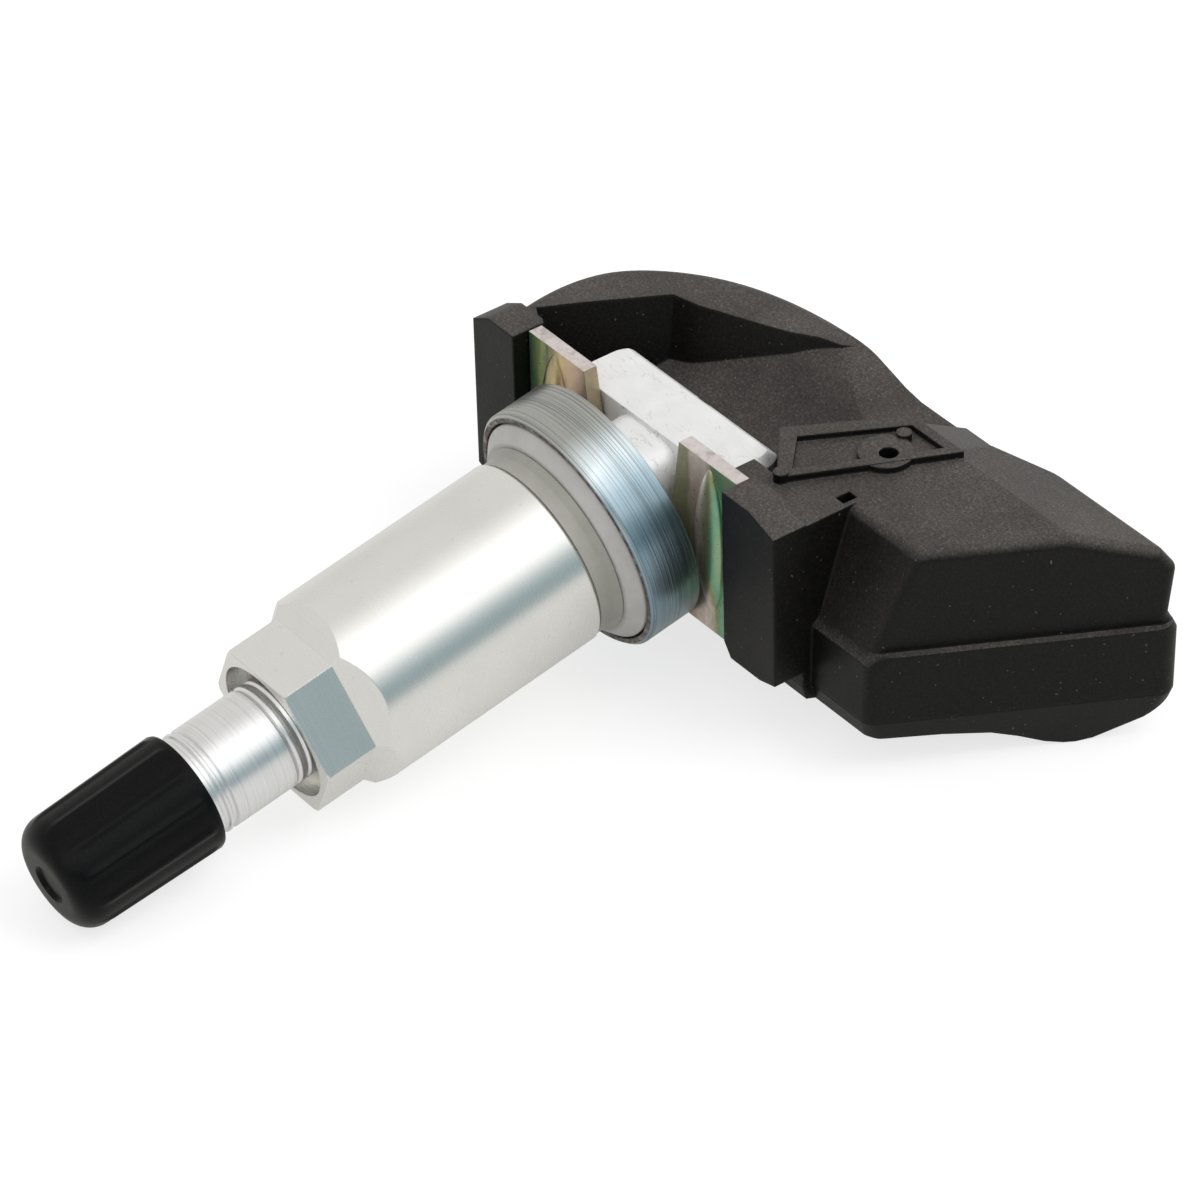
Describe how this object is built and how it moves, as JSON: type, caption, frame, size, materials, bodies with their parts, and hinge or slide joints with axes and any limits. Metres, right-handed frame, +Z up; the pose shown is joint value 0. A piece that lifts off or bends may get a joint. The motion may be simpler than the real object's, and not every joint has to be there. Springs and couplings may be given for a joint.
{
  "type": "tyre pressure sensor",
  "caption": "Clamp-in tyre pressure sensor: flat black housing, steel bracket, swivelling aluminium valve stem with seal ring, sleeve nut and ribbed dust cap.",
  "frame": {"origin": "on the surface it lies on, under the middle of its footprint", "axes": "+Z up, +Y from the valve's cap towards the housing, +X along the bracket plate; it lies on the cover's ridge and the cap"},
  "size_m": [0.0516, 0.0726, 0.0217],
  "materials": {
    "housing_plastic": "moulded, fine grain",
    "cover_plastic": "moulded, fine grain",
    "board_laminate": "satin",
    "bracket_zinc": "yellow zinc plated",
    "valve_aluminium": "turned, satin",
    "ring_zinc": "turned, blue zinc plated",
    "seal_rubber": "matte",
    "washer_plastic": "matte",
    "nut_aluminium": "satin anodised",
    "cap_plastic": "moulded, slight sheen",
    "cap_rubber": "matte",
    "core_brass": "turned",
    "core_steel": "drawn wire",
    "gasket_rubber": "matte",
    "cell_steel": "satin",
    "tab_nickel": "satin",
    "chip_black": "matte",
    "sleeve_rubber": "matte",
    "crystal_steel": "satin",
    "ferrite_grey": "matte",
    "copper_winding": "enamelled wire",
    "antenna_tin": "tinned strip",
    "capacitor_tan": "matte"
  },
  "bodies": {
    "housing": {"housing": "housing_plastic", "base_cover": "cover_plastic", "circuit_board": "board_laminate", "bracket": "bracket_zinc", "battery_cell": "cell_steel", "cell_tab_upper": "tab_nickel", "cell_tab_lower": "tab_nickel", "pressure_chip": "chip_black", "port_sleeve": "sleeve_rubber", "radio_chip": "chip_black", "crystal_can": "crystal_steel", "coil_core": "ferrite_grey", "coil_winding": "copper_winding", "antenna_loop": "antenna_tin", "capacitors": "capacitor_tan"},
    "valve": {"valve_stem": "valve_aluminium", "seal_ring": "ring_zinc", "rim_seal": "seal_rubber", "core_body": "core_brass", "core_gasket": "gasket_rubber", "core_spring": "core_steel"},
    "washer": {"nut_washer": "washer_plastic"},
    "nut": {"valve_nut": "nut_aluminium"},
    "cap_disc": {"cap_seal": "cap_rubber"},
    "cap": {"dust_cap": "cap_plastic"},
    "core_pin": {"core_pin": "core_brass"}
  },
  "joints": [
    {"name": "valve_swivel", "type": "hinge", "parent": "housing", "child": "valve", "pos_m": [-0.0082, 0.01891, 0.01336], "axis": [1, 0, 0], "range_deg": [-12, 1]},
    {"name": "washer_slide", "type": "slide", "parent": "valve", "child": "washer", "axis": [0, -0.9857, -0.1685], "range_m": [0, 0.006]},
    {"name": "nut_turn", "type": "hinge", "parent": "washer", "child": "nut", "pos_m": [-0.0082, -0.0025, 0.0097], "axis": [0, -0.9857, -0.1685], "continuous": true},
    {"name": "cap_slide", "type": "slide", "parent": "valve", "child": "cap_disc", "axis": [0, -0.9857, -0.1685], "range_m": [0, 0.014]},
    {"name": "cap_turn", "type": "hinge", "parent": "cap_disc", "child": "cap", "pos_m": [-0.0082, -0.02941, 0.0051], "axis": [0, -0.9857, -0.1685], "continuous": true},
    {"name": "core_push", "type": "slide", "parent": "valve", "child": "core_pin", "axis": [0, 0.9857, 0.1685], "range_m": [0, 0.0012], "stiffness_N_per_m": 400, "springref_m": -0.002, "deforming": ["core_spring"]}
  ],
  "couplings": [
    {"joint": "nut_turn", "follows": "washer_slide", "rad_per_m": 7854},
    {"joint": "cap_turn", "follows": "cap_slide", "rad_per_m": 7854}
  ]
}
